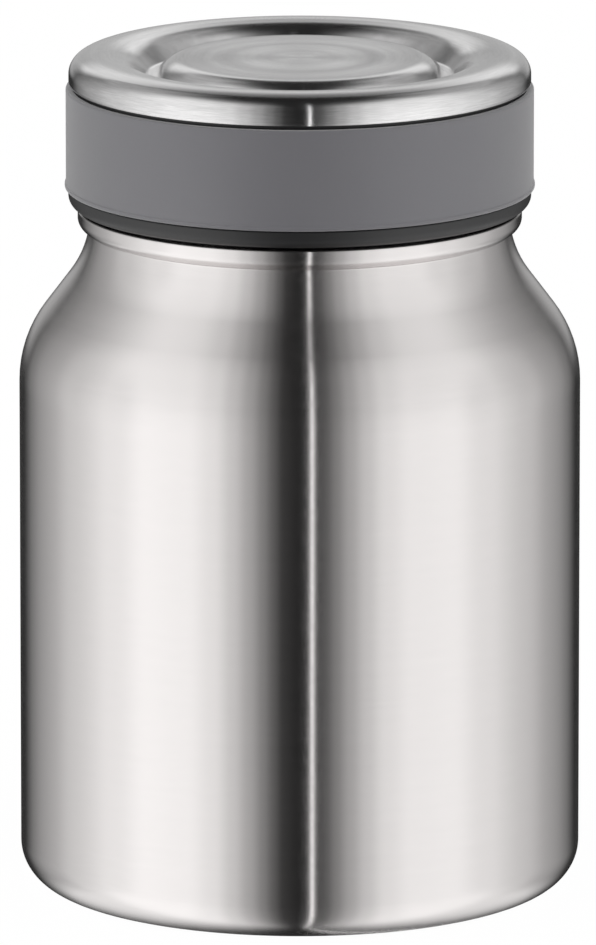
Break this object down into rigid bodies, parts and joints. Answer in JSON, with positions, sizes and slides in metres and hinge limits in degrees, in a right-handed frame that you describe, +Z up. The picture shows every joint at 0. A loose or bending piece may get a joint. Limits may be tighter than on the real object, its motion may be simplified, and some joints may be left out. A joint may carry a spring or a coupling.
{
  "type": "insulated food jar",
  "caption": "Double-walled steel food jar with a shouldered body and a screw-on lid that has a soft grip band and a dished steel cap.",
  "frame": {"origin": "centre of the standing ring, under the base", "axes": "+Z up along the jar's own axis; -Y towards the pictured side, +X to its right"},
  "size_m": [0.094, 0.094, 0.1421],
  "materials": {
    "outer_steel": "fine brushing round the body",
    "inner_steel": "satin",
    "cap_steel": "fine turned brushing",
    "braze": "as melted",
    "foil": "bright copper foil",
    "getter": "pressed powder",
    "lid_plastic": "fine moulded satin",
    "grip": "matt soft-touch",
    "foam": "closed-cell foam",
    "adhesive": "tacky film",
    "seal": "smooth silicone"
  },
  "bodies": {
    "jar": {"outer_shell": "outer_steel", "outer_bottom": "outer_steel", "base_disc": "outer_steel", "vacuum_seal": "braze", "inner_vessel": "inner_steel", "reflective_foil": "foil", "getter_pellet": "getter", "getter_clip": "inner_steel"},
    "seal": {"lid_seal": "seal"},
    "lid": {"lid_shell": "lid_plastic", "lid_cap": "cap_steel", "cap_adhesive": "adhesive", "grip_band": "grip", "lid_stopper": "lid_plastic", "lid_insulation": "foam"}
  },
  "joints": [
    {"name": "lid_rise", "type": "slide", "parent": "jar", "child": "seal", "axis": [0, 0, 1], "range_m": [0, 0.021]},
    {"name": "lid_turn", "type": "hinge", "parent": "seal", "child": "lid", "pos_m": [0, 0, 0.12], "axis": [0, 0, 1], "range_deg": [0, 1260]}
  ],
  "couplings": [
    {"joint": "lid_rise", "follows": "lid_turn", "m_per_rad": 0.00095493}
  ]
}
